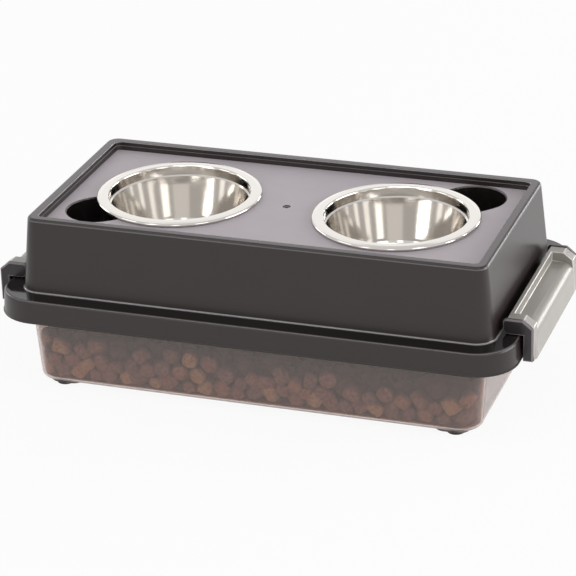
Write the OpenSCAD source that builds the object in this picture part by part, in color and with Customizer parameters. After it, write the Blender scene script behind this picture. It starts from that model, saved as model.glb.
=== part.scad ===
// Raised pet feeder over a storage bin. Millimetres, +Z up, X along the long side, front towards -Y.
// The origin is on the ground under the middle of the bin.

/* [Storage bin] */
// Length of the bin outside, at its floor
bin_floor_x = 452; // [400:1:470]
// Depth of the bin outside, at its floor
bin_floor_y = 245; // [200:1:254]
// Height of the bin from its floor to the top of its rim
bin_h = 88.2; // [70:0.1:140]
// Wall thickness of the bin
bin_wall = 2.2; // [1.6:0.1:3]
// Lean of the bin's sides, degrees from upright
bin_draft = 4.2; // [2:0.1:5]
// Corner radius of the bin at its floor, seen from above
bin_corner = 22; // [14:1:34]
// Radius of the edge between the bin's floor and its sides
bin_floor_round = 6; // [4:0.5:9]
// How far the rim stands out from the wall at the short ends
rim_end = 23.2; // [20:0.2:28]
// How far the rim stands out from the wall along the long sides
rim_side = 8.6; // [7.4:0.2:14]
// Corner radius of the rim, seen from above
rim_corner = 36; // [30:1:44]
// How far the rim's outer lip hangs down
rim_drop = 8; // [5:0.5:12]
// How far that lip spreads outwards
rim_flare = 0.4; // [0.2:0.1:0.8]
// Clear height of the bin's floor above the ground
bin_lift = 6.5; // [5:0.5:12]

/* [Feet] */
// Distance from a foot pad's centre to the end of the bin's floor
foot_end = 25; // [24:0.5:40]
// Distance from a foot pad's centre to the side of the bin's floor
foot_side = 16.5; // [16:0.5:30]
// Diameter of a rubber foot pad
pad_d = 18; // [14:1:20]
// Length of the moulded boss that carries a pad
boss_len = 34; // [28:1:40]
// Width of that boss
boss_w = 21; // [21:1:26]
// Height of that boss
boss_h = 3; // [2:0.5:4]
// Depth of the pad's plug inside the boss
plug_depth = 2.2; // [1.5:0.1:2.4]
// Diameter of the pad's plug
plug_d = 11; // [8:1:12]
// Radial clearance of the plug in its boss
plug_clear = 0.05; // [0.02:0.01:0.1]
// Bevel along a pad's lower edge
pad_bevel = 0.8; // [0.5:0.1:1.2]

/* [Lid] */
// Height of the lid's raised box above its flange
box_h = 74.9; // [70:0.1:120]
// Lean of the box's sides, degrees from upright
box_draft = 5.6; // [3:0.1:7]
// Wall thickness of the lid
lid_wall = 2.4; // [1.8:0.1:3]
// Gap between the bin's rim and the inside of the skirt
skirt_gap = 1.1; // [0.8:0.1:1.6]
// Width of the flange round the box
flange_w = 20.6; // [18:0.2:24]
// Depth of the skirt below the flange's upper face
skirt_h = 23.3; // [18:0.1:30]
// How far the skirt spreads towards its lower edge
skirt_flare = 1.3; // [0.5:0.1:2]
// Height of the bead along the skirt's lower edge
bead_h = 2.2; // [1.5:0.1:3]
// How far that bead stands out
bead_out = 0.7; // [0.4:0.1:1]
// Radius of the flange's outer edge
flange_round = 3; // [2:0.5:4]
// Radius where the box rises from the flange
wall_root = 2; // [1:0.5:3]
// Radius of the box's upper outer edge
top_round = 3; // [2:0.5:4]
// Width of the raised border round the top
border_w = 10; // [8:0.5:14]
// Depth of the recessed deck below the border
deck_drop = 8.5; // [6:0.5:12]
// Width of the step half way down into the recess
ledge_w = 1.4; // [0.8:0.1:2]
// Least corner radius inside the recess
recess_corner = 5.5; // [4:0.5:9]
// How much each tier of the recess's wall narrows towards the deck
recess_taper = 0.4; // [0.2:0.1:0.6]
// Radius of the lips round the recess and the holes
lip_round = 1.2; // [0.8:0.1:1.5]
// Diameter of the moulding gate's dimple in the middle of the deck
gate_d = 8; // [6:0.5:10]
// Depth of that dimple
gate_drop = 0.5; // [0.3:0.1:0.8]
// Diameter of the cut gate left standing in the dimple
gate_stub = 2.2; // [1.5:0.1:3]

/* [Bowls] */
// Distance from a bowl's centre to the recess's short end
bowl_end = 109; // [104:0.5:113]
// Diameter over a bowl's rim
bowl_d = 165; // [150:1:172]
// Width of a bowl's rim
bowl_rim_w = 12.2; // [9:0.2:15]
// Height of a bowl
bowl_h = 61; // [45:1:62]
// Thickness of the bowl's sheet
bowl_t = 0.9; // [0.7:0.1:1.2]
// Radius of the rolled edge
roll_r = 1.9; // [1.5:0.1:2.2]
// How far the rim's face stands above the rolled edge
rim_crown = 0.4; // [0.2:0.1:0.6]
// Width of the slope from that face down to the roll
crown_in = 3; // [2:0.5:4]
// Radius where the rim turns down into the bowl
throat_round = 2; // [1.5:0.1:2.5]
// Inner radius of a bowl at its floor
bowl_floor_r = 60; // [50:1:62]
// Radius between a bowl's floor and wall
bowl_floor_round = 11; // [8:1:16]
// Depth of the shoulder under the rim
shoulder_h = 8; // [6:0.5:12]
// How far the shoulder steps inwards
shoulder_in = 1.6; // [1:0.1:2.5]
// Height over which it steps in
shoulder_step = 1.2; // [0.8:0.1:2]
// Gap between the rolled edge and the deck
bowl_seat = 0.1; // [0.05:0.05:0.3]

/* [Wells] */
// Gap between a bowl's wall and the hole that takes it
well_gap = 3.2; // [2:0.2:5]
// Gap between a bowl's underside and the floor of its well
well_under = 3.5; // [2:0.5:8]
// How much smaller a well's radius is at its floor
well_taper = 8; // [4:0.5:9]
// Distance from the left finger pocket's centre to the recess's short end
left_pocket_end = 43.4; // [40:0.2:50]
// Distance from the left finger pocket's centre to the recess's front edge
left_pocket_side = 49; // [40:0.2:52]
// Distance from the right finger pocket's centre to the recess's short end
right_pocket_end = 49; // [42:0.2:52]
// Distance from the right finger pocket's centre to the recess's back edge
right_pocket_side = 34.8; // [34.8:0.2:46]
// Half width of a finger pocket, and the radius of its round end
pocket_r = 31; // [26:0.5:32]
// Depth of a finger pocket
pocket_depth = 32; // [24:1:40]
// Lean of the pocket's walls, degrees from upright
pocket_draft = 6; // [3:0.5:8]
// Radius round the pocket's floor
pocket_round = 12; // [6:1:14]
// How much larger the radius of a pocket's lip is than that of the hole beside it
pocket_lip = 0.3; // [0.2:0.1:0.5]

/* [Gasket] */
// Thickness of the gasket
gasket_t = 3.05; // [2:0.05:4]
// Width of the gasket
gasket_w = 4; // [3:0.5:5]
// Distance of the gasket's outer edge inside the rim's edge, along the depth
gasket_in = 2.4; // [2:0.1:3]
// Gap between the gasket and the bin's rim
gasket_gap = 0.05; // [0.02:0.01:0.2]
// Thickness and height of the ribs that hold the gasket
gasket_rib = 1.2; // [1:0.1:1.6]

/* [Latches] */
// Length of a latch over its two cheeks
latch_len = 183.8; // [160:0.2:200]
// Thickness of a cheek
cheek_t = 4; // [3:0.5:5]
// Thickness of a cheek's upright leg
leg_w = 9.8; // [8.8:0.2:12]
// Gap between a cheek's leg and the skirt
leg_clear = 0.4; // [0.3:0.1:1]
// Height of a cheek's arm
arm_h = 15.5; // [14:0.5:18]
// Gap between the arm and the flange under it
arm_rise = 0.6; // [0.4:0.1:1]
// Gap between the arm's inner end and the foot of the lid's box
arm_clear = 3.3; // [3:0.1:5]
// Radius of the arm's upper inner corner
arm_corner = 4; // [3:0.5:5]
// Radius of the arm's round heel, which is centred on the pivot
heel_r = 6.3; // [5.5:0.1:6.6]
// Width of the bevel on the latch's upper outer edge
bevel_x = 10; // [7:0.5:12]
// Height of that bevel
bevel_z = 8.1; // [6:0.1:10]
// Depth of the latch below the skirt's lower edge
latch_below = 2.4; // [2:0.1:4]
// Thickness of the hook under the skirt
hook_t = 1.8; // [1.4:0.1:2.2]
// Distance from a cheek to the end of the skirt's notch for the hook
notch_end = 5; // [4:0.5:8]
// Gap round the hook in that notch, above it and at its ends
notch_clear = 1.8; // [1.4:0.1:3]
// How far the hook's tip stays outside the bin's rim
hook_clear = 1.5; // [1:0.1:1.6]
// Thickness of the frame's web
web_t = 2.4; // [2:0.1:3]
// Diameter of the hinge stubs
stub_d = 4; // [3.5:0.1:4.4]
// Radial clearance of the stubs in their lugs
stub_gap = 0.06; // [0.02:0.01:0.09]
// Width of a hinge lug
lug_w = 5.8; // [4:0.2:7]
// Gap between a lug and its cheek, and the length of stub that shows past the lug
lug_clear = 0.6; // [0.4:0.1:1]
// Thickness of plastic round a hinge stub in its lug
lug_wall = 2.3; // [1.8:0.1:2.4]

/* [Grips] */
// Wall thickness of the grip cover
grip_t = 2.4; // [1.8:0.1:3]
// How far the cover lies below the cheeks' outline
grip_sunk = 1; // [0.5:0.1:1.5]
// How far its outer face stands out at the lower edge
grip_swell = 2.6; // [1.5:0.1:3.5]
// Gap from the arm's inner end to the cover's inner edge
grip_back = 3.4; // [3:0.1:5]
// Width of the land behind the finger scoop
scoop_land = 4.2; // [3.5:0.1:6]
// Depth of the finger scoop's back wall
scoop_drop = 9.8; // [8:0.2:10.4]
// Radius over which the scoop's floor turns into the outer face
scoop_round = 10.5; // [8:0.5:12]
// Length of the plain border at each end of the scoop
scoop_end = 13.8; // [10:0.2:20]
// Length of the bevel at each end of the cover's outer face
end_bevel = 24; // [16:1:30]
// Depth of that bevel if the face stood out as far
end_bevel_in = 8; // [6:0.5:10]

/* [Hidden] */

// Steps in a quarter turn of a moulded corner, and of a small edge radius
corner_steps = 12;
edge_steps = 4;
// Sides of a full circle
round_sides = 96;
// Overlap that lets cuts break through a face
cut = 1;

// Half sizes of the bin at its floor, and of its rim
bin_x = bin_floor_x / 2;
bin_y = bin_floor_y / 2;
bin_lean = tan(bin_draft);
rim_x = bin_x + bin_lean * bin_h + rim_end;
rim_y = bin_y + bin_lean * bin_h + rim_side;

// Heights, from the ground up
rim_z = bin_lift + bin_h;
flange_under = rim_z + gasket_gap + gasket_t;
flange_z = flange_under + lid_wall;
skirt_z = flange_z - skirt_h;
top_z = flange_z + box_h;
deck_z = top_z - deck_drop;
deck_under = deck_z - lid_wall;

// Half sizes and corner radius of the flange's outer edge, from which the lid's outline steps in or out
lid_x = rim_x + skirt_gap + lid_wall;
lid_y = rim_y + skirt_gap + lid_wall;
lid_r = rim_corner + skirt_gap + lid_wall;
box_lean = box_h * tan(box_draft);
wall_foot = -flange_w;
wall_head = wall_foot - box_lean;
recess_edge = wall_head - border_w;
recess_x = lid_x + recess_edge;
recess_y = lid_y + recess_edge;

// Bowls and finger pockets, whose centres are given from the centre of their bowl
bowl_x = recess_x - bowl_end;
left_pocket = [bowl_end - left_pocket_end, recess_y - left_pocket_side];
right_pocket = [bowl_end - right_pocket_end, recess_y - right_pocket_side];
bowl_r = bowl_d / 2;
throat_r = bowl_r - bowl_rim_w;
roll_z = deck_z + bowl_seat + roll_r;
bowl_top = roll_z + roll_r + rim_crown;
bowl_floor = bowl_top - bowl_h;
hole_r = throat_r + bowl_t + well_gap;
well_floor = bowl_floor - well_under;

// Latch section, drawn for the right-hand latch
leg_in = lid_x + skirt_flare + bead_out + leg_clear;
leg_out = leg_in + leg_w;
arm_under = flange_z + arm_rise;
arm_top = arm_under + arm_h;
bevel_low = arm_top - bevel_z;
arm_in = lid_x - flange_w + arm_clear;
pivot_x = arm_in + heel_r;
pivot_z = arm_under + heel_r;
latch_z = skirt_z - latch_below;
cheek_y = latch_len / 2 - cheek_t;
grip_top = arm_top - grip_sunk;
grip_face = leg_out - grip_sunk / 2;
grip_low = grip_face + grip_swell;
grip_in = arm_in + grip_back;
scoop_x = grip_in + scoop_land;
scoop_z = grip_top - scoop_drop;
scoop_y = cheek_y - scoop_end;
hook_tip = rim_x + hook_clear;
notch_z = latch_z + hook_t + notch_clear;
notch_y = cheek_y - notch_end;
lug_y = cheek_y - lug_clear - lug_w / 2;

// A rounded rectangle as points: half sizes hx and hy, corner radius r
function outline(hx, hy, r) = [for (c = [0:3], i = [0:corner_steps])
  let (a = 90 * (c - 1) + 90 * i / corner_steps, sx = c < 2 ? 1 : -1, sy = c == 1 || c == 2 ? 1 : -1)
  [sx * (hx - r) + r * cos(a), sy * (hy - r) + r * sin(a)]];

// A solid through a stack of rings, each a list of as many points
module skin(rings) {
  n = len(rings[0]);
  last = len(rings) - 1;
  sides = [for (k = [0:last - 1], i = [0:n - 1])
    let (a = k * n + i, b = k * n + (i + 1) % n) each [[a, a + n, b], [b, a + n, b + n]]];
  base = [for (i = [0:n - 1]) i];
  lid = [for (i = [0:n - 1]) last * n + n - 1 - i];
  polyhedron([for (ring = rings) each ring], concat([base], sides, [lid]));
}

// A solid through rounded rectangles, each given as [z, hx, hy, r]
module loft(levels) {
  skin([for (s = levels) [for (p = outline(s[1], s[2], s[3])) [p[0], p[1], s[0]]]]);
}

// A closed ring between two rounded rectangles that lie w apart
module outline_ring(hx, hy, r, w, h) {
  linear_extrude(h) difference() {
    polygon(outline(hx, hy, r));
    polygon(outline(hx - w, hy - w, r - w));
  }
}

// Offset and height along a rounded edge: over an outer edge, or in a hollow corner
function over_edge(d, z, r) = [for (i = [0:edge_steps]) let (a = 90 * i / edge_steps)
  [d - r + r * cos(a), z - r + r * sin(a)]];
function in_corner(d, z, r) = [for (i = [0:edge_steps]) let (a = 90 * i / edge_steps)
  [d + r - r * sin(a), z + r - r * cos(a)]];
function lip_edge(d, z, r) = [for (i = [0:edge_steps]) let (a = 90 * i / edge_steps)
  [d + r - r * cos(a), z - r + r * sin(a)]];

// Points on an arc
function arc(x, z, r, from, to, steps) = [for (i = [0:steps]) let (a = from + (to - from) * i / steps)
  [x + r * cos(a), z + r * sin(a)]];

// Lid levels from offsets d to the flange's outer edge
function lid_level(p, least) = [p[1], lid_x + p[0], lid_y + p[0], max(lid_r + p[0], least)];
module lid_loft(path, least = 1) {
  loft([for (p = path) lid_level(p, least)]);
}

// Extrudes an X-Z section along Y, centred
module along_y(w) {
  translate([0, w / 2, 0]) rotate([90, 0, 0]) linear_extrude(w) children();
}

// Places a child at the left and the right bowl, with the pockets at opposite corners
module at_bowl(side) {
  translate([side * bowl_x, 0, 0]) rotate(side > 0 ? 0 : 180) children();
}

// Storage bin: a tapered tub with a turned-down rim and four foot bosses
rim_under = rim_z - bin_wall;
function bin_level(d, z) = [z, bin_x + d, bin_y + d, bin_corner + d];
function rim_level(d, z) = [z, rim_x + d, rim_y + d, rim_corner + d];
foot_x = bin_x - foot_end;
foot_y = bin_y - foot_side;
boss_z = bin_lift - boss_h;

module bin_outside() {
  r = bin_floor_round;
  loft(concat(
    [for (i = [0:edge_steps]) let (a = 90 * i / edge_steps)
      bin_level(r * sin(a) - r + bin_lean * r, bin_lift + r - r * cos(a))],
    [bin_level(bin_lean * (rim_under - bin_lift), rim_under + cut)]));
}

module bin_inside() {
  r = bin_floor_round - bin_wall;
  loft(concat(
    [for (i = [0:edge_steps]) let (a = 90 * i / edge_steps)
      bin_level(r * sin(a) - r - bin_wall, bin_lift + bin_wall + r - r * cos(a))],
    [bin_level(bin_lean * bin_h - bin_wall, rim_z + cut)]));
}

module foot_boss(sx, sy) {
  reach = (boss_len - boss_w) / 2;
  translate([sx * (foot_x - reach / 2), sy * foot_y, boss_z]) linear_extrude(boss_h + bin_wall / 2)
    union() {
      square([2 * reach, boss_w], center = true);
      for (s = [-1, 1]) translate([s * reach, 0]) circle(d = boss_w, $fn = round_sides);
    }
}

module storage_bin() {
  color([0.55, 0.5, 0.48, 0.6]) difference() {
    union() {
      bin_outside();
      difference() {
        loft([rim_level(rim_flare, rim_z - rim_drop), rim_level(0, rim_z)]);
        loft([rim_level(rim_flare - bin_wall, rim_z - rim_drop - cut), rim_level(-bin_wall, rim_under)]);
      }
      for (sx = [-1, 1], sy = [-1, 1]) foot_boss(sx, sy);
    }
    bin_inside();
    for (sx = [-1, 1], sy = [-1, 1]) translate([sx * foot_x, sy * foot_y, boss_z - cut])
      cylinder(r = plug_d / 2 + plug_clear, h = plug_depth + cut, $fn = round_sides);
  }
}

// Rubber foot pad with a plug that sits in the boss
module foot_pad(sx, sy) {
  color([0.08, 0.08, 0.09]) translate([sx * foot_x, sy * foot_y, 0]) rotate_extrude($fn = round_sides)
    polygon([[0, 0], [pad_d / 2 - pad_bevel, 0], [pad_d / 2, pad_bevel], [pad_d / 2, boss_z],
      [plug_d / 2, boss_z], [plug_d / 2, boss_z + plug_depth], [0, boss_z + plug_depth]]);
}

// Lid: a drafted box on a flange with a skirt, a recessed deck, two closed wells and finger pockets
module lid_outside() {
  lid_loft(concat(
    [[skirt_flare, skirt_z], [skirt_flare + bead_out, skirt_z + bead_h / 4],
      [skirt_flare + bead_out, skirt_z + bead_h * 3 / 4], [skirt_flare * 0.9, skirt_z + bead_h]],
    over_edge(0, flange_z, flange_round),
    in_corner(wall_foot, flange_z, wall_root),
    over_edge(wall_head, top_z, top_round)));
}

module lid_hollow() {
  lid_loft([[skirt_flare - lid_wall, skirt_z - cut], [-lid_wall, flange_under],
    [wall_foot - lid_wall, flange_under], [wall_head - lid_wall, top_z - lid_wall]]);
}

module recess() {
  ledge_z = deck_z + deck_drop / 2;
  lid_loft(concat(
    [[recess_edge - ledge_w - recess_taper, deck_z], [recess_edge - ledge_w, ledge_z],
      [recess_edge - recess_taper / 2, ledge_z]],
    lip_edge(recess_edge, top_z, lip_round),
    [[recess_edge + lip_round, top_z + cut]]), recess_corner);
}

module recess_back() {
  d = recess_edge + lid_wall;
  lid_loft([[d - recess_taper, deck_under], [d, top_z - lid_wall / 2]], recess_corner + lid_wall);
}

// The hole, well and pocket of one bowl, grown by g on the outside of the plastic
function hole_lip(r, lip) = arc(r + lip, deck_z - lip, lip, 180, 90, edge_steps);

module well_space(g) {
  rotate_extrude($fn = round_sides) polygon(concat(
    [[0, well_floor - g], [hole_r - well_taper + g, well_floor - g]],
    g > 0 ? [[hole_r + g, deck_z - cut], [0, deck_z - cut]]
      : concat(hole_lip(hole_r, lip_round), [[hole_r + lip_round, deck_z + cut], [0, deck_z + cut]])));
}

// A finger pocket in plan, from its bowl's centre out to a round end of radius r
function pocket_outline(reach, r) = concat([[0, -r]],
  [for (i = [0:2 * corner_steps]) let (a = 90 * (i / corner_steps - 1)) [reach + r * cos(a), r * sin(a)]],
  [[0, r]]);

// The pocket's levels as [radius, z]: a dished floor, leaning walls and a lip
function pocket_levels(g) = let (floor_z = deck_z - pocket_depth - g, dish = pocket_round + g,
    low_r = pocket_r + g - pocket_depth * tan(pocket_draft), lip = lip_round + pocket_lip)
  concat(arc(low_r - dish, floor_z + dish, dish, -90, 0, edge_steps),
    g > 0 ? [[pocket_r + g, deck_z - cut]]
      : concat(hole_lip(pocket_r, lip), [[pocket_r + lip, deck_z + cut]]));

module pocket_space(place, g) {
  rotate(atan2(place[1], place[0]))
    skin([for (s = pocket_levels(g)) [for (p = pocket_outline(norm(place), s[0])) [p[0], p[1], s[1]]]]);
}

// The dimple that the moulding gate leaves, with the stub of the gate in it
module gate_dimple() {
  translate([0, 0, deck_z - gate_drop]) difference() {
    cylinder(d = gate_d, h = gate_drop + cut, $fn = round_sides);
    translate([0, 0, -cut]) cylinder(d = gate_stub, h = gate_drop * 2 + cut, $fn = round_sides);
  }
}

// Hinge lugs, drawn for the right-hand end
module hinge_lug(sy) {
  r = stub_d / 2 + stub_gap + lug_wall;
  low = flange_z - lid_wall / 2;
  translate([0, sy * lug_y, 0]) along_y(lug_w) union() {
    translate([pivot_x, pivot_z]) circle(r = r, $fn = round_sides);
    polygon([[pivot_x - r, low], [pivot_x + r, low], [pivot_x + r, pivot_z], [pivot_x - r, pivot_z]]);
  }
}

module lug_bore(sy) {
  translate([pivot_x, sy * lug_y, pivot_z]) rotate([90, 0, 0])
    cylinder(r = stub_d / 2 + stub_gap, h = lug_w + 2 * cut, center = true, $fn = round_sides);
}

module both_ends() {
  children();
  mirror([1, 0, 0]) children();
}

module gasket_ribs() {
  inset = gasket_in - gasket_rib;
  span = gasket_w + 2 * gasket_rib;
  translate([0, 0, flange_under - gasket_rib]) difference() {
    outline_ring(rim_x - inset, rim_y - inset, rim_corner - inset, span, gasket_rib + lid_wall / 2);
    translate([0, 0, -cut])
      outline_ring(rim_x - gasket_in, rim_y - gasket_in, rim_corner - gasket_in, gasket_w, gasket_rib + cut);
  }
}

module feeder_lid() {
  color([0.16, 0.15, 0.15]) difference() {
    union() {
      difference() {
        lid_outside();
        lid_hollow();
      }
      recess_back();
      for (side = [-1, 1]) at_bowl(side) {
        well_space(lid_wall);
        pocket_space(side < 0 ? left_pocket : right_pocket, lid_wall);
      }
      gasket_ribs();
      both_ends() for (sy = [-1, 1]) hinge_lug(sy);
    }
    recess();
    gate_dimple();
    for (side = [-1, 1]) at_bowl(side) {
      well_space(0);
      pocket_space(side < 0 ? left_pocket : right_pocket, 0);
    }
    both_ends() {
      for (sy = [-1, 1]) lug_bore(sy);
      translate([lid_x - flange_w / 2, -notch_y, skirt_z - cut])
        cube([flange_w, 2 * notch_y, notch_z - skirt_z + cut]);
    }
  }
}

// Gasket in its channel under the flange
module lid_gasket() {
  color([0.25, 0.25, 0.26]) translate([0, 0, flange_under - gasket_t])
    outline_ring(rim_x - gasket_in, rim_y - gasket_in, rim_corner - gasket_in, gasket_w, gasket_t);
}

// Bowl: a spun sheet with a rolled edge, a shoulder and a round-cornered floor
module bowl(side) {
  wall_top = throat_r - shoulder_in;
  turn_z = bowl_top - throat_round;
  turn_x = throat_r + throat_round;
  shoulder_z = turn_z - shoulder_h;
  r = bowl_floor_round;
  wall_x = bowl_floor_r - r;
  floor_turn_z = bowl_floor + bowl_t + r;
  lean = atan((wall_top - bowl_floor_r) / (shoulder_z - bowl_floor));
  tuck_x = bowl_r - roll_r - crown_in / 2;
  inside = concat([[0, bowl_floor + bowl_t]], arc(wall_x, floor_turn_z, r, -90, -lean, 6),
    [[wall_top, shoulder_z - shoulder_step], [throat_r, shoulder_z]],
    arc(turn_x, turn_z, throat_round, 180, 90, 5), [[bowl_r - roll_r - crown_in, bowl_top]]);
  outside = concat(arc(bowl_r - roll_r, roll_z, roll_r, 80, -90, 10),
    [[tuck_x, deck_z + bowl_seat], [tuck_x, bowl_top - bowl_t]],
    arc(turn_x, turn_z, throat_round - bowl_t, 90, 180, 4),
    [[throat_r + bowl_t, shoulder_z - bowl_t], [wall_top + bowl_t, shoulder_z - shoulder_step - bowl_t]],
    arc(wall_x, floor_turn_z, r + bowl_t, -lean, -90, 6), [[0, bowl_floor]]);
  color([0.82, 0.8, 0.78]) translate([side * bowl_x, 0, 0]) rotate_extrude($fn = round_sides)
    polygon(concat(inside, outside));
}

// Latch frame: two cheeks joined by a web with the hook, and a hinge stub on each cheek
module cheek_outline() {
  r = arm_corner;
  polygon(concat([[leg_in, latch_z], [leg_out, latch_z], [leg_out, bevel_low], [leg_out - bevel_x, arm_top]],
    arc(arm_in + r, arm_top - r, r, 90, 180, 6), arc(pivot_x, pivot_z, heel_r, 180, 270, 8),
    [[leg_in, arm_under]]));
}

// The cover's inner face leans with its outer one
function face_x(z) = grip_low - (grip_low - grip_face) * (z - latch_z) / (bevel_low - latch_z);
web_top = scoop_z - scoop_round;
hook_root = face_x(latch_z) - grip_t - web_t / 2;

module latch_frame() {
  color([0.15, 0.14, 0.14]) union() {
    for (sy = [-1, 1]) translate([0, sy * (cheek_y + cheek_t / 2), 0]) along_y(cheek_t) cheek_outline();
    for (sy = [-1, 1]) translate([pivot_x, sy * (cheek_y + cheek_t / 2), pivot_z]) rotate([sy * 90, 0, 0])
      cylinder(d = stub_d, h = cheek_t / 2 + lug_w + 2 * lug_clear, $fn = round_sides);
    along_y(2 * cheek_y + cheek_t) polygon([[face_x(latch_z) - grip_t - web_t, latch_z],
      [face_x(latch_z) - grip_t, latch_z], [face_x(web_top) - grip_t, web_top],
      [face_x(web_top) - grip_t - web_t, web_top]]);
    along_y(2 * (notch_y - notch_clear)) polygon([[hook_tip, latch_z], [hook_root, latch_z],
      [hook_root, latch_z + hook_t], [hook_tip, latch_z + hook_t]]);
  }
}

// Grip cover: a shell over the frame, with a long finger scoop in its upper edge
scoop_arc = arc(face_x(web_top) - scoop_round, web_top, scoop_round, 0, 90, 6);
scoop_inner_arc = arc(face_x(web_top) - scoop_round, web_top, scoop_round - grip_t, 90, 0, 6);

module grip_full() {
  polygon([[grip_in, grip_top], [grip_in, grip_top - grip_t],
    [leg_out - bevel_x - grip_t / 2, grip_top - grip_t],
    [face_x(bevel_low - grip_t / 2) - grip_t, bevel_low - grip_t / 2],
    [face_x(latch_z) - grip_t, latch_z], [face_x(latch_z), latch_z],
    [grip_face, bevel_low], [leg_out - bevel_x, grip_top]]);
}

module grip_scooped() {
  polygon(concat([[grip_in, grip_top], [grip_in, grip_top - grip_t], [scoop_x - grip_t, grip_top - grip_t],
    [scoop_x - grip_t, scoop_z - grip_t]], scoop_inner_arc,
    [[face_x(latch_z) - grip_t, latch_z], [face_x(latch_z), latch_z]], scoop_arc,
    [[scoop_x, scoop_z], [scoop_x, grip_top]]));
}

module scoop_end_wall() {
  polygon(concat([[scoop_x - grip_t, grip_top], [scoop_x - grip_t, scoop_z - grip_t]], scoop_inner_arc,
    [[face_x(web_top), web_top], [grip_face, bevel_low], [leg_out - bevel_x, grip_top]]));
}

module latch_grip() {
  color([0.66, 0.65, 0.63]) difference() {
    union() {
      along_y(2 * scoop_y) grip_scooped();
      for (sy = [-1, 1]) {
        translate([0, sy * (scoop_y + scoop_end / 2), 0]) along_y(scoop_end) grip_full();
        translate([0, sy * (scoop_y + grip_t / 2), 0]) along_y(grip_t) scoop_end_wall();
      }
    }
    for (sy = [-1, 1]) translate([0, 0, latch_z - cut]) linear_extrude(arm_h + skirt_h + 2 * cut)
      polygon([[leg_out, sy * cheek_y], [leg_out + end_bevel_in, sy * cheek_y],
        [leg_out + end_bevel_in, sy * (cheek_y - end_bevel)]]);
  }
}

storage_bin();
foot_pad(-1, -1);  // foot_pad_front_left
foot_pad(1, -1);  // foot_pad_front_right
foot_pad(-1, 1);  // foot_pad_back_left
foot_pad(1, 1);  // foot_pad_back_right
feeder_lid();
lid_gasket();
bowl(-1);  // bowl_left
bowl(1);  // bowl_right
mirror([1, 0, 0]) latch_frame();  // latch_frame_left
latch_frame();  // latch_frame_right
mirror([1, 0, 0]) latch_grip();  // latch_grip_left
latch_grip();  // latch_grip_right
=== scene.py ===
# %% [markdown]
# # A raised pet feeder over a storage bin
# The feeder is two large mouldings: a black lid, and under it a smoky see-through bin for dry food.
# Two steel bowls drop into wells in the lid, and a latch at each short end holds lid and bin
# together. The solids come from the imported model, in metres, and this script gives them their
# looks. Each piece rides on its body, so the lid, the bowls and the latches still move.

# %% Load the model
import bpy
import bmesh
import math
import numpy as np
from mathutils import Matrix, Vector


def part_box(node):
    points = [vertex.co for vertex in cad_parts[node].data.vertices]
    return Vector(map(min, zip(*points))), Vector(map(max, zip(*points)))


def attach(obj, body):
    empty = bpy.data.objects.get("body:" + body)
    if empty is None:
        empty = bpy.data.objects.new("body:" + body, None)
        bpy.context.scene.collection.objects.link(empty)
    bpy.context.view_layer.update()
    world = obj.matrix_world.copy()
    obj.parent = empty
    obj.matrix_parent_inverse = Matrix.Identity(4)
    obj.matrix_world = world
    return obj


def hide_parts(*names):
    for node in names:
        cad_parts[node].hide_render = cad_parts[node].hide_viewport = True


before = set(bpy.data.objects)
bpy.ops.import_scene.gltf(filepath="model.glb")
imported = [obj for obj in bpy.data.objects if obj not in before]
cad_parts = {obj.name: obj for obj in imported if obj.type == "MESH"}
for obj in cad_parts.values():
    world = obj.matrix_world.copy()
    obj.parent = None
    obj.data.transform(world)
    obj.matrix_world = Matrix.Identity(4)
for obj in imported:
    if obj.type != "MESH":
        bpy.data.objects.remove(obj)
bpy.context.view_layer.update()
scene = bpy.context.scene
scene.view_settings.view_transform = "Standard"
MM = 0.001

# %% [markdown]
# Colours are written as the screen shows them, as hex values. Blender works with linear light, so
# one function turns a hex value into linear numbers. The other helpers only save typing: one adds
# a node of any kind, and the rest put together what several materials or objects need.

# %% Helpers for colours, nodes and objects
WHITE = (1, 1, 1, 1)


def linear(hex_colour):
    """A hex colour in linear light, with full alpha."""
    channels = [int(hex_colour[i:i + 2], 16) / 255 for i in (1, 3, 5)]
    return [c / 12.92 if c <= 0.04045 else ((c + 0.055) / 1.055) ** 2.4 for c in channels] + [1]


def add_node(tree, kind, settings=None, links=None):
    """Adds one node. Settings are input values or properties; links are input name to socket."""
    node = tree.nodes.new("ShaderNode" + kind)
    for key, value in (settings or {}).items():
        if isinstance(key, int) or key in node.inputs:
            node.inputs[key].default_value = value
        else:
            setattr(node, key, value)
    for key, socket in (links or {}).items():
        tree.links.new(socket, node.inputs[key])
    return node


def maths(tree, operation, *values):
    """The result of a maths node on values, each a number or a socket."""
    numbers = {i: value for i, value in enumerate(values) if isinstance(value, (int, float))}
    sockets = {i: value for i, value in enumerate(values) if i not in numbers}
    return add_node(tree, "Math", {"operation": operation, **numbers}, sockets).outputs[0]


def noise(tree, lump_mm, detail):
    """Noise in lumps of about lump_mm, fixed to the piece."""
    place = add_node(tree, "TexCoord")
    return add_node(tree, "TexNoise", {"Scale": 1 / (lump_mm * MM), "Detail": detail},
                    {"Vector": place.outputs["Object"]}).outputs[0]


def ramp(tree, value, low, high):
    """A colour ramp on value. Each of its two stops is a position and a linear colour."""
    node = add_node(tree, "ValToRGB", links={0: value})
    for stop, (position, colour) in zip(node.color_ramp.elements, (low, high)):
        stop.position, stop.color = position, colour
    return node.outputs[0]


def new_material(name):
    """An empty material, and its node tree."""
    material = bpy.data.materials.new(name)
    material.use_nodes = True
    material.node_tree.nodes.clear()
    return material, material.node_tree


def surface(tree, shader):
    """Ends a material with the node that gives its surface."""
    add_node(tree, "OutputMaterial", links={"Surface": shader.outputs[0]})


def new_object(name, data):
    """An object for a mesh, a lamp or a camera, put in the scene."""
    thing = bpy.data.objects.new(name, data)
    scene.collection.objects.link(thing)
    return thing


print("mid grey #808080 is", round(linear("#808080")[0], 3), "in linear light")

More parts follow.
